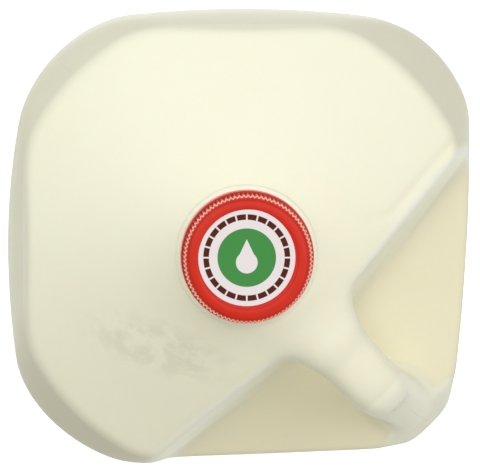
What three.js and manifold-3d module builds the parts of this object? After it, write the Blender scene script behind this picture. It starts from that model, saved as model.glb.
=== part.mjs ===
// A one-gallon blow-moulded milk jug, full and shut: a squarish body, a shoulder that falls from the
// neck like a cone, and a hollow handle that bridges a deep recess at one corner. A ribbed screw cap
// with a torn-off-band ring below it closes the neck, and a round label lies in the cap's top.
// Millimetres, +Z up. The jug stands on z = 0 with its neck on the Z axis and its flat sides facing
// X and Y. The handle stands over the corner between +X and -Y. The upright plane through that corner
// divides the jug into two halves that mirror each other to within a few millimetres.
import * as THREE from "three";
import { mergeVertices, toCreasedNormals } from "three/addons/utils/BufferGeometryUtils.js";
import Module from "manifold-3d";

const wasm = await Module();
wasm.setup();

// Body walls
const HALF_WIDTH = { x: 75.7, y: 73 }; // from the axis to a side, where the full jug is widest
const BULGE_Z = 100; // height of the widest level
const BASE_INSET = 1.8; // how much narrower each side is at the foot
// How far each side bows for each square millimetre from its fullest place, which is at "middle"
const BOW = {
  plusX: { rate: 0.0007, middle: 20 },
  minusX: { rate: 0.0024, middle: -4 },
  plusY: { rate: 0.0014, middle: 3 },
  minusY: { rate: 0.0001, middle: -15 },
};
const CORNER_RADIUS = { handle: 14, right: 30.5, back: 26.5, left: 32 }; // seen from above
const CORNER_CUT = { out: 92.6, z: 95, lean: 0.45 }; // flattens the handle's corner
const FOOT_BLEND = 15; // rounds the edge between the walls and the base

// Shoulder: the crease where the walls' leaning upper band meets the cone
const CREASE_Z = 179;
const CREASE_FLAT = 69.3; // from the axis to the crease, over a flat side
const CREASE_ROUND = 75.2; // the same, over a corner
const BAND_LEAN_FLAT = 0.157; // how far the band leans out for each millimetre down
const BAND_LEAN_ROUND = 0.3;
const CONE_TOP = { radius: 22, z: 230 };
const RIM = { out: 24, fall: 0.13 }; // the faint rim along the recess, which falls a little faster

// Neck and the bead below the cap
const NECK_RADIUS = 18;
const NECK_TOP_Z = 251;
const BEAD = { radius: 21.9, z: 233.6, halfHeight: 1.7 };

// Recess for the fingers. "Out" is the distance from the axis towards the handle's corner,
// and "across" is the distance from the upright plane through that corner.
const WALL_FOOT = { out: 42.5, z: 148.4 };
const WALL_DRAFT = 0.155; // how far the back wall leans towards the neck for each millimetre up
const WALL_TURN = { rate: 0.16, round: 12 }; // how each half of it turns back round the neck
const FLOOR_FALL_OUT = 0.82; // slope of the recess floor towards the corner
const FLOOR_FALL_ACROSS = 0.38; // and away from that plane
const FLOOR_RIDGE = 8; // width of the soft ridge between the floor's two halves
const CREASE_ROLL = 1.8; // rounds the shoulder's crease
const EDGE_ROLL = 2; // rounds the recess's edge
const RECESS_ROLL = 6; // rounds the corner between its wall and its floor

// Handle: its centre line, with half its width across and half its depth
const HANDLE_LINE = [
  { out: 18, z: 214, across: 0, halfWidth: 15, halfDepth: 13 },
  { out: 33, z: 207.8, across: -0.6, halfWidth: 12.8, halfDepth: 12 },
  { out: 42, z: 202.4, across: -1.2, halfWidth: 10, halfDepth: 10 },
  { out: 50, z: 197, across: -1.5, halfWidth: 9.3, halfDepth: 9.4 },
  { out: 56.5, z: 191.6, across: -1.8, halfWidth: 9.1, halfDepth: 9.1 },
  { out: 61.5, z: 184, across: -1.7, halfWidth: 8.9, halfDepth: 8.9 },
  { out: 67.2, z: 163, across: -1.3, halfWidth: 8.4, halfDepth: 8.6 },
  { out: 72.5, z: 140, across: -1.1, halfWidth: 8.2, halfDepth: 8.6 },
  { out: 77, z: 120, across: -1.2, halfWidth: 8.4, halfDepth: 8.6 },
  { out: 79, z: 100, across: -1.5, halfWidth: 9, halfDepth: 8.8 },
];
const HANDLE_SQUARENESS = 0.8; // 1 is an ellipse, and less is squarer

// Round dimples in the two sides next to the handle, and the hollow under the base
const DIMPLE = { rimRadius: 33, floorRadius: 29, depth: 3, z: 62 };
const PUSH_UP = { radius: 54, flatRadius: 40, height: 5 };

// Cap, the ring below it, and the label
const CAP = { topZ: 254, skirtZ: 241, innerRadius: 18.4, ceilingZ: 251.4 };
const CAP_RIBS = { count: 90, tipRadius: 19.9, valleyRadius: 19.2, topZ: 251.6 };
const CAP_ROLL = { crestRadius: 16.8, edgeRadius: 18.9 };
const RING = { innerRadius: 18.4, outerRadius: 20.5, bottomZ: 236.6, topZ: 240.6 };
const LABEL = { radius: 14.9, thickness: 0.25, seatRadius: 15.3, seatZ: 253.3 };

// How finely the round forms are divided
const ROUND_STEPS = { handleHalf: 64, backHalf: 34 };
const HANDLE_SIDES = 20;
const HANDLE_STEPS = 28;
const LATHE_STEPS = 60;
const PROFILE_ARC_STEPS = 4;
const SHARP_EDGE = 0.4; // radians between two faces that don't shade as one surface

const DIAGONAL = Math.SQRT1_2;
const HANDLE_ANGLE = -Math.PI / 4;

// The larger of two distances, with the edge between them rounded over about the width given.
function softMax(a, b, width) {
  const h = Math.max(width - Math.abs(a - b), 0) / width;
  return Math.max(a, b) + (h * h * width) / 4;
}

const softMin = (a, b, width) => -softMax(-a, -b, width);

function cornerRadius(x, y) {
  if (x > 0) return y < 0 ? CORNER_RADIUS.handle : CORNER_RADIUS.right;
  return y > 0 ? CORNER_RADIUS.back : CORNER_RADIUS.left;
}

const sideBow = (bow, along) => bow.rate * (along - bow.middle) ** 2;

// Distance to a rounded square with bowed sides, seen from above, drawn in by an inset.
function roundedSquare(x, y, inset) {
  const radius = cornerRadius(x, y);
  const bowX = sideBow(x > 0 ? BOW.plusX : BOW.minusX, y);
  const bowY = sideBow(y > 0 ? BOW.plusY : BOW.minusY, x);
  const qx = Math.abs(x) + bowX - HALF_WIDTH.x + inset + radius;
  const qy = Math.abs(y) + bowY - HALF_WIDTH.y + inset + radius;
  return Math.min(Math.max(qx, qy), 0) + Math.hypot(Math.max(qx, 0), Math.max(qy, 0)) - radius;
}

// The side walls: upright and slightly bulged below, leaning in towards the crease above.
function wallDistance(x, y, z) {
  const below = Math.max(1 - z / BULGE_Z, 0);
  const square = roundedSquare(x, y, BASE_INSET * below * below);
  const cut = (x - y) * DIAGONAL - CORNER_CUT.out + CORNER_CUT.lean * Math.max(z - CORNER_CUT.z, 0);
  const upright = softMax(square, cut, 4);
  const flat = Math.max(Math.abs(x), Math.abs(y)) - CREASE_FLAT - BAND_LEAN_FLAT * (CREASE_Z - z);
  const round = Math.hypot(x, y) - CREASE_ROUND - BAND_LEAN_ROUND * (CREASE_Z - z);
  return softMax(softMax(upright, flat, 3), round, 4);
}

// The shoulder: a cone from the crease up to the neck, with a rim that falls a little faster than
// the cone along the recess.
function shoulderDistance(out, across, z) {
  const coneRadius = Math.hypot(out, across);
  const radius = softMax(coneRadius, coneRadius + RIM.fall * (out - RIM.out), 0.5);
  const run = CREASE_ROUND - CONE_TOP.radius;
  const rise = CONE_TOP.z - CREASE_Z;
  return ((radius - CREASE_ROUND) * rise + (z - CREASE_Z) * run) / Math.hypot(rise, run);
}

// The recess: everything beyond the back wall and above the floor is cut away.
function recessDistance(out, across, z) {
  const turn = WALL_TURN.rate * (Math.hypot(across, WALL_TURN.round) - WALL_TURN.round);
  const wallOut = WALL_FOOT.out - turn - WALL_DRAFT * (z - WALL_FOOT.z);
  const wall = (out - wallOut) / Math.hypot(1, WALL_DRAFT, WALL_TURN.rate);
  const aside = Math.hypot(across, FLOOR_RIDGE) - FLOOR_RIDGE;
  const floorZ = WALL_FOOT.z - FLOOR_FALL_OUT * (out - WALL_FOOT.out) - FLOOR_FALL_ACROSS * aside;
  const floor = (z - floorZ) / Math.hypot(1, FLOOR_FALL_OUT, FLOOR_FALL_ACROSS);
  return softMin(wall, floor, RECESS_ROLL);
}

// Distance outside the body at a point, below 0 inside it.
function bodyDistance(x, y, z) {
  const out = (x - y) * DIAGONAL;
  const across = (x + y) * DIAGONAL;
  const shell = softMax(wallDistance(x, y, z), shoulderDistance(out, across, z), CREASE_ROLL);
  const body = softMax(shell, recessDistance(out, across, z), EDGE_ROLL);
  return softMax(body, -z, FOOT_BLEND);
}

// How far from the axis the body's surface lies in a direction, at a height, by halving.
function bodyRadius(angle, z) {
  let low = 0;
  let high = 2 * HALF_WIDTH.x;
  for (let i = 0; i < 30; i += 1) {
    const middle = (low + high) / 2;
    const outside = bodyDistance(middle * Math.cos(angle), middle * Math.sin(angle), z) > 0;
    if (outside) high = middle;
    else low = middle;
  }
  return low;
}

// A closed skin through rings of equally many points, with a flat fan over each end.
function skinGeometry(rings) {
  const sides = rings[0].length;
  const middleOf = (ring) =>
    ring.reduce((sum, p) => sum.add(p), new THREE.Vector3()).divideScalar(sides);
  const points = [...rings.flat(), middleOf(rings[0]), middleOf(rings.at(-1))];
  const firstMiddle = points.length - 2;
  const lastMiddle = points.length - 1;
  const lastRing = (rings.length - 1) * sides;
  const faces = [];
  for (let side = 0; side < sides; side += 1) {
    const next = (side + 1) % sides;
    for (let ring = 0; ring < rings.length - 1; ring += 1) {
      const a = ring * sides + side;
      const b = ring * sides + next;
      faces.push(a, b, b + sides, a, b + sides, a + sides);
    }
    faces.push(firstMiddle, next, side);
    faces.push(lastMiddle, lastRing + side, lastRing + next);
  }
  const geometry = new THREE.BufferGeometry().setFromPoints(points);
  geometry.setIndex(faces);
  return geometry;
}

// Values from low to high in equal steps, without the last.
const steps = (low, high, count) =>
  Array.from({ length: count }, (_, i) => low + ((high - low) * i) / count);

// The body: one ring at each level, closer together round the recess than at the back.
function bodyGeometry() {
  const levels = [
    ...[0, 0.5, 1.7, 4, 8, 14],
    ...steps(24, 92, 3),
    ...steps(92, CREASE_Z - 8, 12),
    ...steps(CREASE_Z - 8, CREASE_Z - 2, 2),
    ...steps(CREASE_Z - 2, CREASE_Z + 3, 4),
    ...steps(CREASE_Z + 3, CONE_TOP.z - 1, 8),
    CONE_TOP.z - 1,
  ];
  const quarter = Math.PI / 2;
  const angles = [
    ...steps(HANDLE_ANGLE - quarter, HANDLE_ANGLE + quarter, ROUND_STEPS.handleHalf),
    ...steps(HANDLE_ANGLE + quarter, HANDLE_ANGLE + 3 * quarter, ROUND_STEPS.backHalf),
  ];
  const ringAt = (z) =>
    angles.map((angle) => {
      const radius = bodyRadius(angle, z);
      return new THREE.Vector3(radius * Math.cos(angle), radius * Math.sin(angle), z);
    });
  return skinGeometry(levels.map(ringAt));
}

// A point of the jug from its distance out, its distance across, and its height.
const placed = (out, across, z) =>
  new THREE.Vector3((out + across) * DIAGONAL, (across - out) * DIAGONAL, z);

// The handle: a squarish ring carried along the centre line, its width and depth changing smoothly.
function handleGeometry() {
  const curveOf = (toPoint) => new THREE.CatmullRomCurve3(HANDLE_LINE.map(toPoint));
  const line = curveOf((p) => new THREE.Vector3(p.out, 0, p.z));
  const sizes = curveOf((p) => new THREE.Vector3(p.halfWidth, p.halfDepth, p.across));
  const squared = (value) => Math.sign(value) * Math.abs(value) ** HANDLE_SQUARENESS;
  const rings = [];
  for (let step = 0; step <= HANDLE_STEPS; step += 1) {
    const t = step / HANDLE_STEPS;
    const centre = line.getPoint(t);
    const along = line.getTangent(t);
    const size = sizes.getPoint(t);
    const ring = [];
    for (let side = 0; side < HANDLE_SIDES; side += 1) {
      const turn = (2 * Math.PI * side) / HANDLE_SIDES;
      const across = size.z + size.x * squared(Math.cos(turn));
      const up = size.y * squared(Math.sin(turn));
      ring.push(placed(centre.x - along.z * up, across, centre.z + along.x * up));
    }
    rings.push(ring);
  }
  return skinGeometry(rings);
}

// A solid of revolution about the Z axis from pairs of radius and height, given from the bottom up.
function turnedGeometry(profile) {
  const points = profile.map(([radius, z]) => new THREE.Vector2(radius, z));
  return new THREE.LatheGeometry(points, LATHE_STEPS).rotateX(Math.PI / 2);
}

// Points of an arc from one angle to another, as pairs of radius and height.
function arc(centreRadius, centreZ, radius, from, to) {
  return Array.from({ length: PROFILE_ARC_STEPS + 1 }, (_, i) => {
    const angle = from + ((to - from) * i) / PROFILE_ARC_STEPS;
    return [centreRadius + radius * Math.cos(angle), centreZ + radius * Math.sin(angle)];
  });
}

function neckGeometry() {
  const { radius, z, halfHeight } = BEAD;
  return turnedGeometry([
    [0, CONE_TOP.z - 8],
    [NECK_RADIUS, CONE_TOP.z - 8],
    [NECK_RADIUS, z - halfHeight],
    ...arc(radius - halfHeight, z, halfHeight, -Math.PI / 2, Math.PI / 2),
    [NECK_RADIUS, z + halfHeight],
    [NECK_RADIUS, NECK_TOP_Z],
    [0, NECK_TOP_Z],
  ]);
}

// The plug that presses a round dimple into a side that lies in the plane y = 0 and faces -Y.
function dimpleGeometry() {
  const { rimRadius, floorRadius, depth, z } = DIMPLE;
  const past = 4;
  const spread = (rimRadius - floorRadius) / depth;
  const plug = new THREE.CylinderGeometry(
    floorRadius,
    rimRadius + spread * past,
    depth + past,
    LATHE_STEPS,
  );
  return plug.translate(0, depth - (depth + past) / 2, z);
}

function pushUpGeometry() {
  const { radius, flatRadius, height } = PUSH_UP;
  const past = 1;
  return turnedGeometry([
    [0, -past],
    [radius, -past],
    [radius, 0],
    [flatRadius, height],
    [0, height],
  ]);
}

// A closed geometry as a solid that can be joined and cut, and back.
function solidOf(geometry) {
  const bare = geometry.clone();
  bare.deleteAttribute("normal");
  bare.deleteAttribute("uv");
  const merged = mergeVertices(bare, 1e-4);
  const corners = merged.index.array;
  const kept = [];
  for (let i = 0; i < corners.length; i += 3) {
    const [a, b, c] = corners.slice(i, i + 3);
    if (a !== b && b !== c && c !== a) kept.push(a, b, c);
  }
  const mesh = new wasm.Mesh({
    numProp: 3,
    vertProperties: merged.attributes.position.array,
    triVerts: new Uint32Array(kept),
  });
  return new wasm.Manifold(mesh);
}

function geometryOf(solid) {
  const mesh = solid.getMesh();
  const geometry = new THREE.BufferGeometry();
  geometry.setAttribute("position", new THREE.BufferAttribute(mesh.vertProperties, 3));
  geometry.setIndex(new THREE.BufferAttribute(mesh.triVerts, 1));
  return toCreasedNormals(geometry, SHARP_EDGE);
}

function jugGeometry() {
  const dimpleOnY = dimpleGeometry().translate(0, -HALF_WIDTH.y, 0);
  const dimpleOnX = dimpleGeometry().rotateZ(Math.PI / 2).translate(HALF_WIDTH.x, 0, 0);
  const jug = solidOf(bodyGeometry())
    .add(solidOf(handleGeometry()))
    .add(solidOf(neckGeometry()))
    .subtract(solidOf(dimpleOnY))
    .subtract(solidOf(dimpleOnX))
    .subtract(solidOf(pushUpGeometry()));
  return geometryOf(jug);
}

// The cap: a cup turned upside down over the neck, with a rolled top edge round the label's seat,
// and upright V-shaped ribs round its skirt.
function capGeometry() {
  const rollRadius = CAP_ROLL.edgeRadius - CAP_ROLL.crestRadius;
  const cup = turnedGeometry([
    [0, CAP.ceilingZ],
    [CAP.innerRadius, CAP.ceilingZ],
    [CAP.innerRadius, CAP.skirtZ],
    [CAP_ROLL.edgeRadius, CAP.skirtZ],
    ...arc(CAP_ROLL.crestRadius, CAP.topZ - rollRadius, rollRadius, 0, Math.PI / 2),
    [LABEL.seatRadius, LABEL.seatZ],
    [0, LABEL.seatZ],
  ]);
  const outline = new THREE.Shape();
  for (let i = 0; i < 2 * CAP_RIBS.count; i += 1) {
    const angle = (Math.PI * i) / CAP_RIBS.count;
    const radius = i % 2 ? CAP_RIBS.valleyRadius : CAP_RIBS.tipRadius;
    const point = [radius * Math.cos(angle), radius * Math.sin(angle)];
    if (i) outline.lineTo(...point);
    else outline.moveTo(...point);
  }
  const hole = new THREE.Path();
  hole.absarc(0, 0, (CAP.innerRadius + CAP_ROLL.edgeRadius) / 2, 0, 2 * Math.PI, true);
  outline.holes.push(hole);
  const ribs = new THREE.ExtrudeGeometry(outline, {
    depth: CAP_RIBS.topZ - CAP.skirtZ,
    bevelEnabled: false,
    curveSegments: LATHE_STEPS,
  }).translate(0, 0, CAP.skirtZ);
  return geometryOf(solidOf(cup).add(solidOf(ribs)));
}

// The ring that stays on the neck when the cap is first unscrewed, with a rounded upper edge.
function ringGeometry() {
  const edge = 0.8;
  return turnedGeometry([
    [RING.innerRadius, RING.bottomZ],
    [RING.outerRadius, RING.bottomZ],
    ...arc(RING.outerRadius - edge, RING.topZ - edge, edge, 0, Math.PI / 2),
    [RING.innerRadius, RING.topZ],
    [RING.innerRadius, RING.bottomZ],
  ]);
}

function labelGeometry() {
  const disc = new THREE.CylinderGeometry(LABEL.radius, LABEL.radius, LABEL.thickness, LATHE_STEPS);
  return disc.rotateX(Math.PI / 2).translate(0, 0, LABEL.seatZ + LABEL.thickness / 2);
}

const ivoryJug = new THREE.MeshStandardMaterial({ color: 0xf3f0dc, roughness: 0.45, metalness: 0 });
const redCap = new THREE.MeshStandardMaterial({ color: 0xd23a2c, roughness: 0.35, metalness: 0 });
const paleLabel = new THREE.MeshStandardMaterial({ color: 0xf1e9e8, roughness: 0.4, metalness: 0 });

function node(name, geometry, material) {
  const mesh = new THREE.Mesh(geometry, material);
  mesh.name = name;
  return mesh;
}

const milkJug = new THREE.Group();
milkJug.name = "milk_jug";
milkJug.add(node("jug", jugGeometry(), ivoryJug));
milkJug.add(node("cap", capGeometry(), redCap));
milkJug.add(node("cap_ring", ringGeometry(), redCap));
milkJug.add(node("cap_label", labelGeometry(), paleLabel));

export default milkJug;
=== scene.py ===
import math

import bpy
import mathutils
import numpy as np
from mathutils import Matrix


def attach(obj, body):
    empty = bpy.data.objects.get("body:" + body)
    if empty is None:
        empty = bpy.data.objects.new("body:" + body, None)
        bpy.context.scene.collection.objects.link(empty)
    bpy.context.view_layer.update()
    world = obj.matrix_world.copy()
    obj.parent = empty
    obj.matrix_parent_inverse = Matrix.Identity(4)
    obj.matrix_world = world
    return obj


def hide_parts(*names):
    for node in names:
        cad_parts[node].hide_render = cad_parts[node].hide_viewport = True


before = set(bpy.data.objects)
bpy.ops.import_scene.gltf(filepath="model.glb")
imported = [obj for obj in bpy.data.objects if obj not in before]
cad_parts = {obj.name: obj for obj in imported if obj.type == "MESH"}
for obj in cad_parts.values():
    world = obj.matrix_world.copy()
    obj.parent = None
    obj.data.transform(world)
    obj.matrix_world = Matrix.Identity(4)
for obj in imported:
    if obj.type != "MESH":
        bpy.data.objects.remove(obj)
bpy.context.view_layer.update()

# A full one-gallon milk jug, shut, standing upright and seen from straight above. Its one blow-moulded
# skin takes in the body, the shoulder and a hollow handle over a recess at one corner. A red ribbed
# screw cap with a round printed label closes it, above the band that stays on the neck once opened.
# Sizes are in millimetres. "Out" is the distance from the axis towards the handle's corner, which
# lies between +X and -Y, and "across" is the distance from the upright plane through that corner.

# The jug's skin
# Blow-moulded high-density polyethylene, about 0.6 mm thick and as cloudy as wax, with milk right
# behind it. The mould's two halves meet in the upright plane through the handle, so the skin has a
# faint parting line there.

# Half the body's width and depth, and how far the sides draw in at the base from their fullest level
HALF_X, HALF_Y = 75.7, 73.0
BULGE_Z, BASE_INSET = 100.0, 1.8
# Each side's bow for each square millimetre from its fullest place, and where that place lies along it
BOW_PLUS_X, BOW_MINUS_X = (0.0007, 20), (0.0024, -4)
BOW_PLUS_Y, BOW_MINUS_Y = (0.0014, 3), (0.0001, -15)
# The corners' radii, and the flat that cuts the handle's corner and leans in above a level
CORNER_HANDLE, CORNER_RIGHT, CORNER_BACK, CORNER_LEFT = 14.0, 30.5, 26.5, 32.0
CORNER_CUT_OUT, CORNER_CUT_Z, CORNER_CUT_LEAN = 92.6, 95.0, 0.45
# The crease round the shoulder's foot, the band that leans in to it, and the cone up to the neck
CREASE_Z, CREASE_FLAT, CREASE_ROUND = 179.0, 69.3, 75.2
BAND_LEAN_FLAT, BAND_LEAN_ROUND = 0.157, 0.30
CONE_RADIUS, CONE_Z, SHOULDER_TOP_Z = 22.0, 230.0, 233.5
RIM_OUT, RIM_FALL = 24.0, 0.13
# The recess: the foot, draft and turn of its back wall, and the falls of its floor
WALL_FOOT_OUT, WALL_FOOT_Z, WALL_DRAFT = 42.5, 148.4, 0.155
WALL_TURN, WALL_ROUND = 0.16, 12.0
FLOOR_FALL_OUT, FLOOR_FALL_ACROSS, FLOOR_RIDGE = 0.82, 0.38, 8.0
# How widely the crease, the recess's edge, its inner corner and the base's foot are rounded
CREASE_ROLL, EDGE_ROLL, RECESS_ROLL, FOOT_BLEND = 1.8, 2.0, 6.0, 15.0
# The hollow under the base, and the round dimples in the two sides next to the handle
PUSH_UP_RADIUS, PUSH_UP_FLAT, PUSH_UP_HEIGHT = 54.0, 40.0, 5.0
DIMPLE_Z, DIMPLE_RIM, DIMPLE_FLOOR, DIMPLE_DEPTH = 62.0, 33.5, 27.5, 3.0
# Along the handle's centre line: out, height, half width across, half depth, and how far across it lies
HANDLE = np.array([
    (18, 214, 15, 13, 0), (33, 207.8, 12.8, 12, -0.6), (42, 202.4, 10.0, 10, -1.2),
    (50, 197, 9.3, 9.4, -1.5), (56.5, 191.6, 9.1, 9.1, -1.8), (61.5, 184, 8.9, 8.9, -1.7),
    (67.2, 163, 8.4, 8.6, -1.3), (72.5, 140, 8.2, 8.6, -1.1), (77, 120, 8.4, 8.6, -1.2),
    (79, 100, 9.0, 8.8, -1.5),
])
HANDLE_SQUARENESS = 2.5  # the power of the handle's section, where 2 is an ellipse and more is squarer
HANDLE_BLEND = 6.0
# A valley beside the recess's edge: how far behind the back wall it lies and turns, and its size
VALLEY_IN, VALLEY_TURN, VALLEY_WIDTH, VALLEY_DEPTH = 4.0, 4.0, 1.2, 0.7
SKIN_GRAIN = 1.35  # edge length of the finished skin's faces


def soft_max(a, b, width):
    """The larger of two distances, plus width/4 times the square of how nearly they are equal."""
    near = np.maximum(width - np.abs(a - b), 0) / width
    return np.maximum(a, b) + near * near * width / 4


def soft_min(a, b, width):
    """The smaller of two distances, less the same square where they are nearly equal."""
    return -soft_max(-a, -b, width)


def ease(t):
    """Zero up to 0, one from 1, and 3t^2 - 2t^3 between."""
    t = np.clip(t, 0, 1)
    return t * t * (3 - 2 * t)


def side_bow(toward, along, plus, minus):
    """How far a side stands back: its bow times the square of the distance from its fullest place."""
    bow, middle = (np.where(toward > 0, a, b) for a, b in zip(plus, minus))
    return bow * (along - middle) ** 2


def wall_distance(x, y, z):
    """Distance to a rounded square seen from above, whose sides bow and draw in below BULGE_Z, cut by
    planes and a cone that lean in towards the crease."""
    out = (x - y) * math.sqrt(0.5)
    inset = BASE_INSET * np.maximum(1 - z / BULGE_Z, 0) ** 2
    radius = np.where(x > 0, np.where(y < 0, CORNER_HANDLE, CORNER_RIGHT),
                      np.where(y > 0, CORNER_BACK, CORNER_LEFT))
    qx = np.abs(x) + side_bow(x, y, BOW_PLUS_X, BOW_MINUS_X) - HALF_X + inset + radius
    qy = np.abs(y) + side_bow(y, x, BOW_PLUS_Y, BOW_MINUS_Y) - HALF_Y + inset + radius
    square = np.minimum(np.maximum(qx, qy), 0) + np.hypot(np.maximum(qx, 0), np.maximum(qy, 0)) - radius
    cut = out - CORNER_CUT_OUT + CORNER_CUT_LEAN * np.maximum(z - CORNER_CUT_Z, 0)
    upright = soft_max(square, cut, 4)
    upright = upright + dimple_depth(x, z) * (y < -45) + dimple_depth(y, z) * (x > 45)
    flat = np.maximum(np.abs(x), np.abs(y)) - CREASE_FLAT - BAND_LEAN_FLAT * (CREASE_Z - z)
    cone = np.hypot(x, y) - CREASE_ROUND - BAND_LEAN_ROUND * (CREASE_Z - z)
    return soft_max(soft_max(upright, flat, 3), cone, 4)


def dimple_depth(along, z):
    """Depth of a side's round dimple: DIMPLE_DEPTH inside, easing to nothing at its rim."""
    radius = np.hypot(along, z - DIMPLE_Z)
    return DIMPLE_DEPTH * ease((DIMPLE_RIM - radius) / (DIMPLE_RIM - DIMPLE_FLOOR))


def shoulder_distance(out, across, z):
    """Distance to a cone about the axis, which falls a little faster beyond RIM_OUT."""
    radius = np.hypot(out, across)
    radius = soft_max(radius, radius + RIM_FALL * (out - RIM_OUT), 0.5)
    run, rise = CREASE_ROUND - CONE_RADIUS, CONE_Z - CREASE_Z
    return ((radius - CREASE_ROUND) * rise + (z - CREASE_Z) * run) / math.hypot(rise, run)


def back_wall_distance(out, across, z):
    """Distance to a wall that leans in towards the neck and bends round it as a flat hyperbola."""
    foot = WALL_FOOT_OUT - WALL_TURN * (np.hypot(across, WALL_ROUND) - WALL_ROUND)
    return (out - foot + WALL_DRAFT * (z - WALL_FOOT_Z)) / math.hypot(1, WALL_DRAFT, WALL_TURN)


def recess_distance(out, across, z):
    """Distance to what is left of the recess: behind the back wall, or below a floor that falls
    towards the corner and, less, away from the middle."""
    aside = np.hypot(across, FLOOR_RIDGE) - FLOOR_RIDGE
    floor_z = WALL_FOOT_Z - FLOOR_FALL_OUT * (out - WALL_FOOT_OUT) - FLOOR_FALL_ACROSS * aside
    floor = (z - floor_z) / math.sqrt(1 + FLOOR_FALL_OUT ** 2 + FLOOR_FALL_ACROSS ** 2)
    return soft_min(back_wall_distance(out, across, z), floor, RECESS_ROLL)


def body_distance(x, y, z):
    """Distance to the body without its handle: the softened meeting of walls, shoulder, recess,
    and a base that is pushed up in the middle."""
    out, across = (x - y) * math.sqrt(0.5), (x + y) * math.sqrt(0.5)
    shell = soft_max(wall_distance(x, y, z), shoulder_distance(out, across, z), CREASE_ROLL)
    body = soft_max(shell, recess_distance(out, across, z), EDGE_ROLL)
    push = (PUSH_UP_RADIUS - np.hypot(x, y)) / (PUSH_UP_RADIUS - PUSH_UP_FLAT)
    body = soft_max(body, PUSH_UP_HEIGHT * ease(push) - z, FOOT_BLEND)
    return np.maximum(body, z - SHOULDER_TOP_Z)


def smooth_line(stations, count):
    """Catmull-Rom curve through the stations, at equal steps of its parameter."""
    ends = np.vstack([2 * stations[0] - stations[1], stations, 2 * stations[-1] - stations[-2]])
    place = np.linspace(0, len(stations) - 1, count)
    first = np.minimum(place.astype(int), len(stations) - 2)
    t = (place - first)[:, None]
    a, b, c, d = (ends[first + i] for i in range(4))
    return b + 0.5 * t * (c - a + t * (2 * a - 5 * b + 4 * c - d + t * (3 * (b - c) + d - a)))


handle_line = smooth_line(HANDLE, 160)
handle_along = np.gradient(handle_line[:, :2], axis=0)
handle_step = np.linalg.norm(handle_along, axis=1)
handle_along /= handle_step[:, None]


def handle_distance(x, y, z):
    """Distance to the handle: from the nearest place on its centre line, how far a point lies beyond
    the rounded square |across/width|^n + |up/depth|^n = 1 that is carried along the line."""
    out, across = (x - y) * math.sqrt(0.5), (x + y) * math.sqrt(0.5)
    distance = np.full(out.shape, 60.0)
    close = (np.abs(across) < 40) & (out > 8) & (z > 75) & (z < 235)
    o, a, h = out[close], across[close], z[close]
    index = np.arange(len(handle_line))
    place = ((o[:, None] - handle_line[:, 0]) ** 2 + (h[:, None] - handle_line[:, 1]) ** 2).argmin(1)
    past = (o - handle_line[place, 0]) * handle_along[place, 0]
    past += (h - handle_line[place, 1]) * handle_along[place, 1]
    spot = np.clip(place + past / handle_step[place], 0, index[-1])
    line_out, line_z, half_width, half_depth, line_across = (
        np.interp(spot, index, column) for column in handle_line.T)
    along_out, along_z = (np.interp(spot, index, column) for column in handle_along.T)
    up = (h - line_z) * along_out - (o - line_out) * along_z
    beyond = np.abs((o - line_out) * along_out + (h - line_z) * along_z)
    n = HANDLE_SQUARENESS
    ratio = (np.abs((a - line_across) / half_width) ** n + np.abs(up / half_depth) ** n) ** (1 / n)
    distance[close] = np.hypot((ratio - 1) * half_depth, beyond) * np.where(ratio > 1, 1, -1)
    return distance


def jug_distance(points):
    """Distance to the whole jug: the softened joining of its body and its handle."""
    x, y, z = points.T
    return soft_min(body_distance(x, y, z), handle_distance(x, y, z), HANDLE_BLEND)


def slope(distance, points):
    """The distance's rate of change along each axis, by central differences of 0.1 mm."""
    shifts = 0.1 * np.eye(3)
    return np.stack([(distance(points + s) - distance(points - s)) / 0.2 for s in shifts], 1)


def closed_tube(rows, first_end=None, last_end=None):
    """Points and faces of a closed skin through rows of points, an array of (rows, sides, 3). Each
    end is a fan to a point, which is the end row's middle if none is given."""
    count, sides = rows.shape[:2]
    first_end = rows[0].mean(0) if first_end is None else first_end
    last_end = rows[-1].mean(0) if last_end is None else last_end
    points = np.vstack([rows.reshape(-1, 3), first_end, last_end])
    row, side = np.meshgrid(np.arange(count - 1) * sides, np.arange(sides), indexing="ij")
    after = (side + 1) % sides
    quads = np.stack([row + side, row + after, row + sides + after, row + sides + side], -1)
    side, top = np.arange(sides), (count - 1) * sides
    after = (side + 1) % sides
    first_fan = np.stack([np.full(sides, count * sides), after, side], -1)
    last_fan = np.stack([np.full(sides, count * sides + 1), top + side, top + after], -1)
    return points, quads.reshape(-1, 4).tolist() + first_fan.tolist() + last_fan.tolist()


def new_piece(name, parts, sharp_angle=None):
    """An object from one or more pairs of points in millimetres and faces."""
    points, faces, start = [], [], 0
    for part_points, part_faces in parts:
        points.append(part_points)
        faces += [[start + corner for corner in face] for face in part_faces]
        start += len(part_points)
    mesh = bpy.data.meshes.new(name)
    mesh.from_pydata((np.vstack(points) * 0.001).tolist(), [], faces)
    mesh.shade_smooth()
    if sharp_angle:
        mesh.set_sharp_from_angle(angle=math.radians(sharp_angle))
    piece = bpy.data.objects.new(name, mesh)
    bpy.context.scene.collection.objects.link(piece)
    return piece


def body_rows():
    """Rings of the body's surface: at each level and in each direction from the axis, the radius
    where the distance is nothing, found by halving."""
    levels = np.concatenate([[0, 0.6, 2, 4.5, 8], np.linspace(12, SHOULDER_TOP_Z - 0.5, 110)])
    angle = np.linspace(0, 2 * np.pi, 180, endpoint=False)
    z, angle = np.meshgrid(levels, angle, indexing="ij")
    low, high = np.zeros(z.shape), np.full(z.shape, 120.0)
    for _ in range(20):
        middle = (low + high) / 2
        inside = body_distance(middle * np.cos(angle), middle * np.sin(angle), z) < 0
        low, high = np.where(inside, middle, low), np.where(inside, high, middle)
    return np.stack([low * np.cos(angle), low * np.sin(angle), z], -1)


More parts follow.
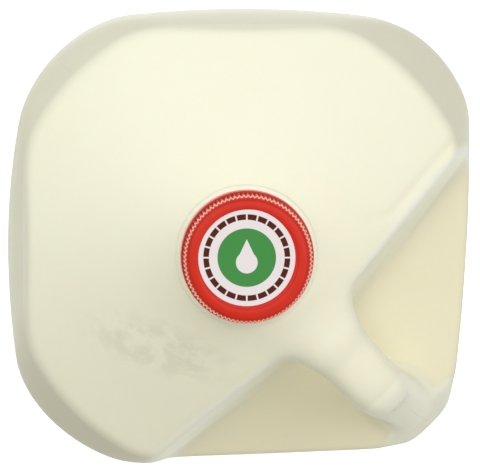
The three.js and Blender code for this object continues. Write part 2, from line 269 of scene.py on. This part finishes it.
def handle_rows():
    """The handle's rounded square section carried along its centre line."""
    line, along = handle_line[::4], handle_along[::4]
    turn = np.linspace(0, 2 * np.pi, 32, endpoint=False)
    across, up = (np.sign(f) * np.abs(f) ** (2 / HANDLE_SQUARENESS) for f in (np.cos(turn), np.sin(turn)))
    across = line[:, 4, None] + line[:, 2, None] * across
    up = line[:, 3, None] * up
    out = line[:, 0, None] - along[:, 1, None] * up
    z = line[:, 1, None] + along[:, 0, None] * up
    return np.stack([(out + across) * math.sqrt(0.5), (across - out) * math.sqrt(0.5), z], -1)


def settle_skin(mesh, rounds):
    """Evens out the vertices by moving each to the mean of its neighbours, then brings them back
    onto the jug's surface along the distance's slope."""
    count = len(mesh.vertices)
    points, edges = np.empty(count * 3), np.empty(len(mesh.edges) * 2, dtype=int)
    mesh.vertices.foreach_get("co", points)
    mesh.edges.foreach_get("vertices", edges)
    points, (a, b) = points.reshape(-1, 3) * 1000, edges.reshape(-1, 2).T
    neighbours = np.bincount(a, minlength=count) + np.bincount(b, minlength=count)
    for step in range(rounds):
        if 0 < step < rounds - 1:
            total = np.stack([np.bincount(a, points[b, i], count) + np.bincount(b, points[a, i], count)
                              for i in range(3)], 1)
            points = 0.5 * points + 0.5 * total / neighbours[:, None]
        rise = slope(jug_distance, points)
        length = np.maximum((rise ** 2).sum(1), 0.25)
        points -= np.clip(jug_distance(points) / length, -1.5, 1.5)[:, None] * rise
    mesh.vertices.foreach_set("co", (points * 0.001).ravel())
    mesh.update()
    return points


# The skin has a hole through it under the handle, which no single grid gives. So the body's rings
# and the handle's section are joined by a fine remesh, and the result is settled onto the surface.
raw_skin = new_piece("raw_skin", [closed_tube(body_rows()), closed_tube(handle_rows())])
remesh = raw_skin.modifiers.new("join", "REMESH")
remesh.mode = "VOXEL"
remesh.voxel_size = SKIN_GRAIN * 0.001
joined = raw_skin.evaluated_get(bpy.context.evaluated_depsgraph_get())
skin_mesh = bpy.data.meshes.new_from_object(joined)
skin_mesh.name = "jug_skin"
bpy.data.objects.remove(raw_skin)
skin_points = settle_skin(skin_mesh, 6)
x, y, z = skin_points.T
out, across = (x - y) * math.sqrt(0.5), (x + y) * math.sqrt(0.5)
# A faint valley in the shoulder runs beside the recess's +X edge and turns away from it by the neck.
aside = back_wall_distance(out, across, z) + VALLEY_IN + VALLEY_TURN * ease((42 - across) / 9)
valley = VALLEY_DEPTH * np.exp(-(aside / VALLEY_WIDTH) ** 2)
valley *= ease((across - 31) / 5) * ease((74 - across) / 6) * ease((z - 160) / 10)
rise = slope(jug_distance, skin_points)
skin_points -= valley[:, None] * rise / np.maximum(np.linalg.norm(rise, axis=1), 0.5)[:, None]
skin_mesh.vertices.foreach_set("co", (skin_points * 0.001).ravel())
skin_mesh.update()
skin_mesh.shade_smooth()
jug_skin = bpy.data.objects.new("jug_skin", skin_mesh)
bpy.context.scene.collection.objects.link(jug_skin)


def srgb(text):
    """A hex colour as linear red, green, blue and a full alpha."""
    values = [int(text[i:i + 2], 16) / 255 for i in (0, 2, 4)]
    return [v / 12.92 if v <= 0.04045 else ((v + 0.055) / 1.055) ** 2.4 for v in values] + [1.0]


def add_node(tree, kind, inputs=(), **settings):
    """Adds a node with its settings, then sets each input by name or number, or links it to a socket
    or to another node's first live output."""
    node = tree.nodes.new(kind)
    for key, value in settings.items():
        setattr(node, key, value)
    for key, value in dict(inputs).items():
        if isinstance(value, bpy.types.Node):
            value = next(socket for socket in value.outputs if socket.enabled)
        if isinstance(value, bpy.types.NodeSocket):
            tree.links.new(value, node.inputs[key])
        else:
            node.inputs[key].default_value = value
    return node


def new_material(name):
    """An empty node material, with its tree and its own coordinates."""
    material = bpy.data.materials.new(name)
    material.use_nodes = True
    material.node_tree.nodes.clear()
    place = add_node(material.node_tree, "ShaderNodeTexCoord").outputs["Object"]
    return material, material.node_tree, place


def set_zone(piece, name, amount):
    """Stores how far each vertex belongs to a zone of the surface."""
    layer = piece.data.attributes.new(name, "FLOAT", "POINT")
    layer.data.foreach_set("value", np.ascontiguousarray(amount, dtype=np.float32))


# Where no milk stands behind the skin, on the handle's outer leg, the corner panel below it and the
# recess's back wall, the plastic is less cream. Its tint there is also lighter, as a painted glow of light
# passing through the plastic. On the recess's floor a creamier tint is painted bounce light, and the band
# under the shoulder is tinted a little darker than the shoulder as painted shade.
LEG_OUT = 63.0
PANEL_HALF_WIDTH, PANEL_LOW_Z, PANEL_HIGH_Z = 22.0, 50.0, 150.0
BACK_WALL_ACROSS, BACK_WALL_Z = 22.0, 145.0
FLOOR_OUT = 34.0
from_handle = handle_distance(x, y, z)
from_back_wall = np.abs(back_wall_distance(out, across, z))
from_recess = recess_distance(out, across, z)
off_handle = 1 - ease(1 - from_handle / 2)
# The leg, the panel and the back wall take a less cream tint, made lighter as a painted glow
leg = ease(1.5 - from_handle / 2) * ease((out - LEG_OUT) / 1.6)
panel = ease(1.8 - np.abs(out - CORNER_CUT_OUT + CORNER_CUT_LEAN * np.maximum(z - CORNER_CUT_Z, 0)))
panel *= ease((PANEL_HALF_WIDTH - np.abs(across)) / 5)
panel *= ease((z - PANEL_LOW_Z) / 40) * ease((PANEL_HIGH_Z - z) / 10)
back_wall = 0.8 * ease(1.5 - from_back_wall / 1.6)
back_wall *= ease((np.abs(across) - BACK_WALL_ACROSS) / 16) * ease((z - BACK_WALL_Z) / 10)
# The recess floor's creamier tint is painted bounce light
floor = ease(1 - np.abs(from_recess) / 1.5) * ease((out - FLOOR_OUT) / 6) * off_handle
# The band's darker tint under the crease is painted shade
band_shade = 0.6 * ease((CREASE_Z - 1 - z) / 4) * off_handle

# A painted highlight: the fine bright line where the skin folds over from the shoulder to the recess's back
# wall
FOLD_ACROSS = 16.0
shell = soft_max(wall_distance(x, y, z), shoulder_distance(out, across, z), CREASE_ROLL)
fold_highlight_share = 0.8 * ease(1.5 - np.abs(shell - from_recess) / 0.7)
fold_highlight_share *= ease(1 - from_back_wall / 2.5) * ease((np.abs(across) - FOLD_ACROSS) / 6)

# A faint grey smear on the shoulder, and the small pinch marks where the mould closed on the leg
SMEAR_X, SMEAR_Y, SMEAR_TURN = -27.0, -30.0, math.radians(-17.1)
SMEAR_LENGTH, SMEAR_BREADTH, SMEAR_LOW_Z = 24.0, 8.5, 190.0
PINCH_PLACE, PINCH_REACH = (50.2, -50.2, 182.0), (4.2, 2.1, 3.0)
along_smear = (x - SMEAR_X) * math.cos(SMEAR_TURN) + (y - SMEAR_Y) * math.sin(SMEAR_TURN)
aside_smear = (y - SMEAR_Y) * math.cos(SMEAR_TURN) - (x - SMEAR_X) * math.sin(SMEAR_TURN)
smear = ease(1.6 - 1.2 * np.hypot(along_smear / SMEAR_LENGTH, aside_smear / SMEAR_BREADTH))
smear *= z > SMEAR_LOW_Z
pinched = ease(2 - np.linalg.norm((skin_points - PINCH_PLACE) / PINCH_REACH, axis=1))

skin_zones = {
    "no_milk_and_painted_glow": np.maximum(np.maximum(leg, panel), back_wall),
    "floor_painted_bounce_light": floor,
    "band_painted_shade": band_shade,
    "fold_painted_highlight": fold_highlight_share,
    "smear": smear,
    "pinched": pinched,
}
for name, share in skin_zones.items():
    set_zone(jug_skin, name, share)

# Natural polyethylene as it leaves the mould, with no paint. It has a soft sheen with no clear
# reflection, and light sinks into it and comes back cream from the milk, or grey from the air behind.
# Its zone tints also carry painted light: shade on the band, bounce light on the recess floor, a glow
# where no milk is behind, and highlights on the fold and the pinch marks.
CLOUD_SIZE, BLOTCH_SIZE, NIP_SIZE, WAVE_SIZE, GRAIN_SIZE = 45.5, 6.25, 1.43, 16.7, 0.714
PARTING_EDGE, PARTING_FLAT = 0.7, 0.2
PARTING_TOP_Z, PARTING_FULL_Z = 177.0, 172.0

milky_plastic, tree, place = new_material("milky_polyethylene")
zone = {name: add_node(tree, "ShaderNodeAttribute", attribute_name=name).outputs["Fac"]
        for name in skin_zones}
clouds = add_node(tree, "ShaderNodeTexNoise", {"Vector": place, "Scale": 1000 / CLOUD_SIZE, "Detail": 3})
tint = add_node(tree, "ShaderNodeMix", {"Factor": clouds, "A": srgb("f6f4dc"), "B": srgb("f8f6e2")},
                data_type="RGBA")
# Zone tints: painted shade on the band, painted bounce light on the recess floor, a whiter tint that is
# partly painted glow where no milk is behind, and a painted highlight on the fold
for name, colour in (("band_painted_shade", "e9e7d0"), ("floor_painted_bounce_light", "f8f1d4"), ("no_milk_and_painted_glow", "fcffe6"),
                     ("fold_painted_highlight", "fffff8")):
    tint = add_node(tree, "ShaderNodeMix", {"Factor": zone[name], "A": tint, "B": srgb(colour)},
                    data_type="RGBA")
blotches = add_node(tree, "ShaderNodeTexNoise", {
    "Vector": place, "Scale": 1000 / BLOTCH_SIZE, "Detail": 5, "Roughness": 0.62})
blotches = add_node(tree, "ShaderNodeMapRange", {"Value": blotches, 1: 0.38, 2: 0.62},
                    interpolation_type="SMOOTHSTEP")
smeared = add_node(tree, "ShaderNodeMath", {0: blotches, 1: zone["smear"]}, operation="MULTIPLY")
tint = add_node(tree, "ShaderNodeMix", {"Factor": smeared, "A": tint, "B": srgb("ecead5")},
                data_type="RGBA")

# The nips of the pinch marks: painted highlights on their ridges and painted shade in the furrows between
nips = add_node(tree, "ShaderNodeTexNoise", {"Vector": place, "Scale": 1000 / NIP_SIZE, "Detail": 1})
nip_painted_highlight_mask = add_node(tree, "ShaderNodeMapRange", {"Value": nips, 1: 0.42, 2: 0.58},
                    interpolation_type="SMOOTHSTEP")
nip_painted_light_and_shade = add_node(tree, "ShaderNodeMix", {"Factor": nip_painted_highlight_mask, "A": srgb("ecebda"), "B": srgb("ffffff")},
                    data_type="RGBA")
nip_share = add_node(tree, "ShaderNodeMath", {0: zone["pinched"], 1: 0.6}, operation="MULTIPLY")
tint = add_node(tree, "ShaderNodeMix", {"Factor": nip_share, "A": tint, "B": nip_painted_light_and_shade}, data_type="RGBA")
nip_height = add_node(tree, "ShaderNodeMath", {0: nips, 1: zone["pinched"]}, operation="MULTIPLY")

# The parting line is a fine ridge in the plane x + y = 0, which fades out at the shoulder's foot. Its
# edges and heights are in millimetres, and the tree's places are in metres.
along_x, along_y, up_z = add_node(tree, "ShaderNodeSeparateXYZ", {"Vector": place}).outputs
off_plane = add_node(tree, "ShaderNodeMath", {0: along_x, 1: along_y}, operation="ADD")
off_plane = add_node(tree, "ShaderNodeMath", {0: off_plane}, operation="ABSOLUTE")
parting = add_node(tree, "ShaderNodeMapRange", {
    "Value": off_plane, 1: PARTING_EDGE / 1000, 2: PARTING_FLAT / 1000}, interpolation_type="SMOOTHSTEP")
below = add_node(tree, "ShaderNodeMapRange", {
    "Value": up_z, 1: PARTING_TOP_Z / 1000, 2: PARTING_FULL_Z / 1000}, interpolation_type="SMOOTHSTEP")
parting = add_node(tree, "ShaderNodeMath", {0: parting, 1: below}, operation="MULTIPLY")
parting = add_node(tree, "ShaderNodeMath", {0: parting, 1: 0.25}, operation="MULTIPLY")
ridges = add_node(tree, "ShaderNodeMath", {0: nip_height, 1: 4.0, 2: parting}, operation="MULTIPLY_ADD")

# Broad waves from the blowing, the ridges, and the mould's grain, drawn coarser than it is to show
waves = add_node(tree, "ShaderNodeTexNoise", {"Vector": place, "Scale": 1000 / WAVE_SIZE})
grain = add_node(tree, "ShaderNodeTexNoise", {"Vector": place, "Scale": 1000 / GRAIN_SIZE, "Roughness": 0.6})
relief = {}
for height, strength, distance in ((waves, 0.15, 0.001), (ridges, 0.6, 0.0006), (grain, 0.1, 0.0002)):
    relief = {"Normal": add_node(tree, "ShaderNodeBump", {
        "Height": height, "Strength": strength, "Distance": distance, **relief})}
weight = add_node(tree, "ShaderNodeMath", {0: zone["no_milk_and_painted_glow"], 1: 0.35, 2: 0.35}, operation="MULTIPLY_ADD")
weight = add_node(tree, "ShaderNodeMath", {0: weight, 1: nip_share}, operation="SUBTRACT")
depth = add_node(tree, "ShaderNodeMath", {0: zone["no_milk_and_painted_glow"], 1: 0.006, 2: 0.003}, operation="MULTIPLY_ADD")
shader = add_node(tree, "ShaderNodeBsdfPrincipled", {
    "Base Color": tint, "Roughness": 0.42, "IOR": 1.54, "Subsurface Weight": weight,
    "Subsurface Radius": (1.0, 0.85, 0.6), "Subsurface Scale": depth, **relief})
add_node(tree, "ShaderNodeOutputMaterial", {"Surface": shader})
skin_mesh.materials.append(milky_plastic)
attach(jug_skin, "root")
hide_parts("jug")

# The neck
# The upper end of the same moulding: a plain tube with a stout bead that carries the jug on the
# filling line. The cap hides its thread.
NECK_RADIUS, NECK_FOOT_Z, NECK_TOP_Z = 18.0, 222.0, 250.9
BEAD_RADIUS, BEAD_Z, BEAD_ROLL = 21.9, 233.6, 1.7


def arc(centre, radius, start, end, count):
    """Points of an arc as radius from the axis and height, from one angle in degrees to another."""
    angle = np.radians(np.linspace(start, end, count))
    return np.stack([centre[0] + radius * np.cos(angle), centre[1] + radius * np.sin(angle)], -1)


def turned(profile, sides):
    """A profile of radius and height turned about the Z axis. It starts and ends on the axis."""
    angle = np.linspace(0, 2 * np.pi, sides, endpoint=False)
    radius, z = profile[1:-1, 0, None], profile[1:-1, 1, None]
    rows = np.stack([radius * np.cos(angle), radius * np.sin(angle), z + 0 * angle], -1)
    return closed_tube(rows, (0, 0, profile[0, 1]), (0, 0, profile[-1, 1]))


neck_profile = np.vstack([
    [(0, NECK_FOOT_Z), (NECK_RADIUS, NECK_FOOT_Z), (NECK_RADIUS, BEAD_Z - BEAD_ROLL - 0.4)],
    arc((BEAD_RADIUS - BEAD_ROLL, BEAD_Z), BEAD_ROLL, -90, 90, 13),
    [(NECK_RADIUS + 0.4, BEAD_Z + BEAD_ROLL + 0.1), (NECK_RADIUS, BEAD_Z + BEAD_ROLL + 0.5)],
    [(NECK_RADIUS, NECK_TOP_Z - 0.5), (NECK_RADIUS - 0.5, NECK_TOP_Z), (0, NECK_TOP_Z)],
])
neck = new_piece("neck", [turned(neck_profile, 144)], sharp_angle=40)
neck.data.materials.append(milky_plastic)
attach(neck, "root")
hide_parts("jug")

# The cap's ring
# A band of the same red polyethylene as the cap, moulded with it and torn from it when the jug is
# first opened. It sits on the neck just below the cap, a little wider than it.
RING_INNER, RING_OUTER, RING_FOOT_Z, RING_TOP_Z, RING_EDGE = 18.4, 20.45, 236.6, 240.6, 0.7
RING_SIDES = 240


def looped(profile, sides):
    """A closed profile turned about the Z axis, giving a ring."""
    angle = np.linspace(0, 2 * np.pi, sides, endpoint=False)
    radius, z = profile[:, 0, None], profile[:, 1, None]
    points = np.stack([radius * np.cos(angle), radius * np.sin(angle), z + 0 * angle], -1).reshape(-1, 3)
    count = len(profile)
    row, side = np.meshgrid(np.arange(count), np.arange(sides), indexing="ij")
    next_row, next_side = (row + 1) % count * sides, (side + 1) % sides
    row = row * sides
    quads = np.stack([row + side, row + next_side, next_row + next_side, next_row + side], -1)
    return points, quads.reshape(-1, 4).tolist()


ring_profile = np.vstack([
    arc((RING_OUTER - RING_EDGE, RING_FOOT_Z + RING_EDGE), RING_EDGE, -90, 0, 6),
    arc((RING_OUTER - RING_EDGE, RING_TOP_Z - RING_EDGE), RING_EDGE, 0, 90, 10),
    arc((RING_INNER + 0.3, RING_TOP_Z - 0.3), 0.3, 90, 180, 3),
    arc((RING_INNER + 0.3, RING_FOOT_Z + 0.3), 0.3, 180, 270, 3),
])
# A painted highlight along the ring's upper outer rounding
ring_painted_highlight = 0.7 * np.interp(np.arange(len(ring_profile)), (5.5, 7, 9.5, 11), (0, 1, 1, 0))
cap_ring = new_piece("cap_band", [looped(ring_profile, RING_SIDES)])
set_zone(cap_ring, "painted_edge_highlight", np.repeat(ring_painted_highlight, RING_SIDES))

# Red polyethylene, injection moulded: coloured right through, with a satin gloss that blurs what it
# reflects, and a pale painted highlight along the ring's upper edge and the ribs' tops. Its grain is drawn
# coarser than it is.
RED_CLOUD_SIZE, RED_GRAIN_SIZE = 6.67, 0.4
red_plastic, tree, place = new_material("red_polyethylene")
clouds = add_node(tree, "ShaderNodeTexNoise", {"Vector": place, "Scale": 1000 / RED_CLOUD_SIZE})
tint = add_node(tree, "ShaderNodeMix", {"Factor": clouds, "A": srgb("c0210f"), "B": srgb("cc2913")},
                data_type="RGBA")
# The pale painted highlight on the ring's edge and the ribs' tops
painted_edge_highlight = add_node(tree, "ShaderNodeAttribute", attribute_name="painted_edge_highlight").outputs["Fac"]
tint = add_node(tree, "ShaderNodeMix", {"Factor": painted_edge_highlight, "A": tint, "B": srgb("f9c3ae")},
                data_type="RGBA")
grain = add_node(tree, "ShaderNodeTexNoise", {
    "Vector": place, "Scale": 1000 / RED_GRAIN_SIZE, "Roughness": 0.6})
relief = add_node(tree, "ShaderNodeBump", {"Height": grain, "Strength": 0.12, "Distance": 0.0001})
shader = add_node(tree, "ShaderNodeBsdfPrincipled", {
    "Base Color": tint, "Roughness": 0.42, "IOR": 1.5, "Specular IOR Level": 0.22, "Normal": relief,
    "Subsurface Weight": 0.1, "Subsurface Radius": (1.0, 0.25, 0.15), "Subsurface Scale": 0.0008})
add_node(tree, "ShaderNodeOutputMaterial", {"Surface": shader})
cap_ring.data.materials.append(red_plastic)
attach(cap_ring, "root")
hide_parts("cap_ring")

# The cap
# Injection-moulded polyethylene: a cup over the neck with a rolled top edge, a shallow seat for the
# label, and fine upright ribs round its skirt for grip. Each rib ends on top in a small point tinted pale
# as a painted highlight.
CAP_SKIRT_Z, CAP_INNER, CAP_CEILING_Z = 241.0, 18.4, 251.4
CAP_RIBS, RIB_TIP, RIB_VALLEY, RIB_TOP_Z = 90, 19.75, 19.05, 251.7
SEAT_RADIUS, SEAT_Z = 15.2, 253.3
STEPS_PER_RIB = 8
# Down the outside: radius, height, how far the ribs show, and how strong the painted highlight is
CAP_OUTSIDE = np.vstack([
    [(SEAT_RADIUS - 0.4, SEAT_Z, 0, 0), (SEAT_RADIUS - 0.05, SEAT_Z + 0.05, 0, 0)],
    [(SEAT_RADIUS, SEAT_Z + 0.2, 0, 0), (SEAT_RADIUS + 0.15, SEAT_Z + 0.32, 0, 0)],
    [(15.8, SEAT_Z + 0.4, 0, 0), (16.4, SEAT_Z + 0.43, 0, 0), (17.0, SEAT_Z + 0.38, 0, 0)],
    np.column_stack([arc((17.3, 252.3), 1.3, 72, 5, 14), np.zeros((14, 2))]),
    [(18.5, 252.0, 0, 0), (18.45, RIB_TOP_Z + 0.1, 0.5, 0), (18.62, RIB_TOP_Z + 0.15, 1, 0.4)],
    [(18.78, RIB_TOP_Z + 0.15, 1, 1), (RIB_VALLEY - 0.05, RIB_TOP_Z + 0.08, 1, 1)],
    [(RIB_VALLEY + 0.05, RIB_TOP_Z - 0.1, 1, 0.7)],
    [(RIB_VALLEY + 0.05, RIB_TOP_Z - 0.4, 1, 0), (RIB_VALLEY + 0.06, RIB_TOP_Z - 2, 1, 0)],
    [(RIB_VALLEY + 0.1, 246.0, 1, 0), (RIB_VALLEY + 0.15, CAP_SKIRT_Z + 0.6, 1, 0)],
    [(RIB_VALLEY + 0.1, CAP_SKIRT_Z + 0.2, 0.6, 0), (RIB_VALLEY - 0.1, CAP_SKIRT_Z, 0.2, 0)],
])
CAP_INSIDE = [(CAP_INNER + 0.1, CAP_SKIRT_Z, 0, 0), (CAP_INNER, CAP_SKIRT_Z + 0.1, 0, 0),
              (CAP_INNER, CAP_CEILING_Z, 0, 0)]


def ribbed(profile):
    """The profile turned about the axis, with the radius going in and out as a triangle wave of the
    angle as far as the ribs show."""
    sides = CAP_RIBS * STEPS_PER_RIB
    angle = np.linspace(0, 2 * np.pi, sides, endpoint=False)
    rib = 1 - np.abs(2 * (np.arange(sides) / STEPS_PER_RIB % 1) - 1)
    radius = profile[:, 0, None] + (RIB_TIP - RIB_VALLEY) * profile[:, 2, None] * rib
    z = profile[:, 1, None] + 0 * angle
    return np.stack([radius * np.cos(angle), radius * np.sin(angle), z], -1)


cap_profile = np.vstack([CAP_OUTSIDE, CAP_INSIDE])[::-1]
cap = new_piece("screw_cap", [closed_tube(ribbed(cap_profile), (0, 0, CAP_CEILING_Z), (0, 0, SEAT_Z))],
                sharp_angle=50)
# The rib tops' painted highlight, with none at the two end points
cap_painted_highlight = np.append(np.repeat(cap_profile[:, 3], CAP_RIBS * STEPS_PER_RIB), [0, 0])
set_zone(cap, "painted_edge_highlight", 0.9 * cap_painted_highlight)
cap.data.materials.append(red_plastic)
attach(cap, "root")
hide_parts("cap")

# The label
# A printed paper disc under a clear film, stuck a little off centre in the cap's seat: white with a
# faint pink cast, a ring of brown bars, and a green centre with a white drop.
LABEL_RADIUS, LABEL_TOP_Z = 14.8, 253.55
LABEL_SHIFT = (-0.5, 0.65)
BAR_MIDDLE, BAR_HALF_WIDTH, BAR_COUNT, BAR_GAP = 12.35, 0.85, 24, 0.5
CENTRE_RADIUS = 8.9
DROP_RADIUS, DROP_LOW, DROP_TIP, DROP_TAPER = 3.3, 1.5, 5.6, 0.47
PRINT_EDGE = 0.06

label_profile = np.vstack([
    [(0, SEAT_Z - 0.1), (LABEL_RADIUS, SEAT_Z - 0.1), (LABEL_RADIUS, LABEL_TOP_Z - 0.1)],
    [(LABEL_RADIUS - 0.1, LABEL_TOP_Z), (LABEL_RADIUS / 2, LABEL_TOP_Z), (0, LABEL_TOP_Z)],
])
label_points, label_faces = turned(label_profile, 120)
label_points[:, :2] += LABEL_SHIFT
label = new_piece("cap_disc", [(label_points, label_faces)], sharp_angle=40)

# Coated paper under a clear film, printed: a faint even gloss over flat inks, and fibres that are
# drawn coarser than they are, to show
FIBRE_SIZE = 0.556
printed_paper, tree, place = new_material("printed_paper")

# Millimetres from the label's own middle, and from these how far each print's edge lies, which is less
# than nothing inside the print
spot = add_node(tree, "ShaderNodeMapping", {
    "Vector": place, "Location": (-LABEL_SHIFT[0], -LABEL_SHIFT[1], 0), "Scale": (1000, 1000, 0)})
x, y, _ = add_node(tree, "ShaderNodeSeparateXYZ", {"Vector": spot}).outputs
radius = add_node(tree, "ShaderNodeVectorMath", {0: spot}, operation="LENGTH")
centre = add_node(tree, "ShaderNodeMath", {0: radius, 1: CENTRE_RADIUS}, operation="SUBTRACT")

# A bar lies within half its width of the ring's middle line, and more than half a gap from the nearest
# line between two bars, which is the radius times the sine of the angle to it.
turn = add_node(tree, "ShaderNodeMath", {0: y, 1: x}, operation="ARCTAN2")
turn = add_node(tree, "ShaderNodeMath", {0: turn, 1: math.pi / BAR_COUNT}, operation="PINGPONG")
sine = add_node(tree, "ShaderNodeMath", {0: turn}, operation="SINE")
from_gap = add_node(tree, "ShaderNodeMath", {0: radius, 1: sine}, operation="MULTIPLY")
from_gap = add_node(tree, "ShaderNodeMath", {0: BAR_GAP / 2, 1: from_gap}, operation="SUBTRACT")
bar = add_node(tree, "ShaderNodeMath", {0: radius, 1: BAR_MIDDLE}, operation="SUBTRACT")
bar = add_node(tree, "ShaderNodeMath", {0: bar}, operation="ABSOLUTE")
bar = add_node(tree, "ShaderNodeMath", {0: bar, 1: BAR_HALF_WIDTH}, operation="SUBTRACT")
bar = add_node(tree, "ShaderNodeMath", {0: from_gap, 1: bar}, operation="MAXIMUM")

# The drop is a circle, joined above its middle by a straight taper up to the tip.
drop_round = add_node(tree, "ShaderNodeVectorMath", {0: spot, 1: (0, -DROP_LOW, 0)}, operation="DISTANCE")
drop_round = add_node(tree, "ShaderNodeMath", {0: drop_round, 1: DROP_RADIUS}, operation="SUBTRACT")
half_width = add_node(tree, "ShaderNodeMath", {0: x}, operation="ABSOLUTE")
taper = add_node(tree, "ShaderNodeMath", {0: y, 1: DROP_TAPER, 2: half_width}, operation="MULTIPLY_ADD")
taper = add_node(tree, "ShaderNodeMath", {0: taper, 1: DROP_TIP * DROP_TAPER}, operation="SUBTRACT")
below = add_node(tree, "ShaderNodeMath", {0: 0.0, 1: y}, operation="SUBTRACT")
taper = add_node(tree, "ShaderNodeMath", {0: taper, 1: below}, operation="MAXIMUM")
drop = add_node(tree, "ShaderNodeMath", {0: drop_round, 1: taper}, operation="MINIMUM")

colour = srgb("dcd5d6")
for distance, ink in ((bar, "4c1a08"), (centre, "3f8642"), (drop, "dcd5d6")):
    inside = add_node(tree, "ShaderNodeMapRange", {"Value": distance, 1: PRINT_EDGE, 2: -PRINT_EDGE})
    colour = add_node(tree, "ShaderNodeMix", {"Factor": inside, "A": colour, "B": srgb(ink)},
                      data_type="RGBA")
fibre = add_node(tree, "ShaderNodeTexNoise", {
    "Vector": place, "Scale": 1000 / FIBRE_SIZE, "Detail": 3, "Roughness": 0.6})
relief = add_node(tree, "ShaderNodeBump", {"Height": fibre, "Strength": 0.08, "Distance": 0.0001})
shader = add_node(tree, "ShaderNodeBsdfPrincipled", {
    "Base Color": colour, "Roughness": 0.45, "IOR": 1.48, "Specular IOR Level": 0.15, "Normal": relief})
add_node(tree, "ShaderNodeOutputMaterial", {"Surface": shader})
label.data.materials.append(printed_paper)
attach(label, "root")
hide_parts("cap_label")

# The studio
# A round white light table under the jug on a pale grey floor, five large soft lights above it, and
# even light all round. From here on, sizes are in metres.
TABLE_RADIUS, FLOOR_RADIUS, FLOOR_DROP = 0.14, 4.0, 0.002
SOFTBOX_SIZE = 1.6
CAMERA_PLACE = (-0.0398, 0.105, 1.845)
CAMERA_LOOK = (0.0234, -0.06143, -1.0)
CAMERA_LENS = 394.3
turn = np.linspace(0, 2 * np.pi, 96, endpoint=False)
disc = np.stack([np.cos(turn), np.sin(turn), 0 * turn], 1)
for name, points, colour, glow in (
    ("light_table", disc * TABLE_RADIUS, "ffffff", 0.45),
    ("studio_floor", disc * FLOOR_RADIUS - (0, 0, FLOOR_DROP), "b8b8b6", 0.0),
):
    stage_mesh = bpy.data.meshes.new(name)
    stage_mesh.from_pydata(points.tolist(), [], [list(range(len(points)))])
    stage = bpy.data.objects.new(name, stage_mesh)
    bpy.context.scene.collection.objects.link(stage)
    surface, tree, place = new_material(name)
    shader = add_node(tree, "ShaderNodeBsdfPrincipled", {
        "Base Color": srgb(colour), "Roughness": 0.9, "Emission Color": srgb("ffffff"),
        "Emission Strength": glow})
    add_node(tree, "ShaderNodeOutputMaterial", {"Surface": shader})
    stage_mesh.materials.append(surface)

for place, power, colour in (
    ((0.0, 0.78, 2.3), 12.5, (0.92, 0.91, 1.0)),
    ((1.2, 0.4, 2.0), 16.2, (0.96, 0.95, 1.0)),
    ((-1.2, 0.4, 2.0), 6.9, (1.0, 0.92, 0.94)),
    ((-1.3, 1.3, 1.6), 15.8, (0.88, 0.96, 1.0)),
    ((1.3, -1.4, 1.55), 10.0, (0.97, 0.98, 1.0)),
):
    softbox = bpy.data.lights.new("softbox", "AREA")
    softbox.shape = "DISK"
    softbox.size = SOFTBOX_SIZE
    softbox.energy = power
    softbox.color = colour
    holder = bpy.data.objects.new("softbox", softbox)
    holder.location = place
    holder.rotation_mode = "QUATERNION"
    holder.rotation_quaternion = mathutils.Vector(place).to_track_quat("Z", "Y")
    bpy.context.scene.collection.objects.link(holder)

world = bpy.data.worlds.new("studio")
world.use_nodes = True
world.node_tree.nodes["Background"].inputs["Color"].default_value = (1.0, 0.98, 0.8, 1.0)
world.node_tree.nodes["Background"].inputs["Strength"].default_value = 0.36
bpy.context.scene.world = world
bpy.context.scene.view_settings.view_transform = "Standard"

# The camera hangs 1.6 m above the cap, a little towards +Y and -X, and looks down past the neck.
camera_data = bpy.data.cameras.new("camera")
camera_data.lens = CAMERA_LENS
camera_data.sensor_width = 36.0
camera_data.clip_end = 20.0
camera = bpy.data.objects.new("camera", camera_data)
camera.location = CAMERA_PLACE
forward = CAMERA_LOOK / np.linalg.norm(CAMERA_LOOK)
right = np.cross(forward, (0, 1, 0))
right /= np.linalg.norm(right)
up = np.cross(right, forward)
turned_axes = np.stack([right, up, -forward], 1)
camera.rotation_mode = "QUATERNION"
camera.rotation_quaternion = mathutils.Matrix(turned_axes.tolist()).to_quaternion()
bpy.context.scene.collection.objects.link(camera)
bpy.context.scene.camera = camera
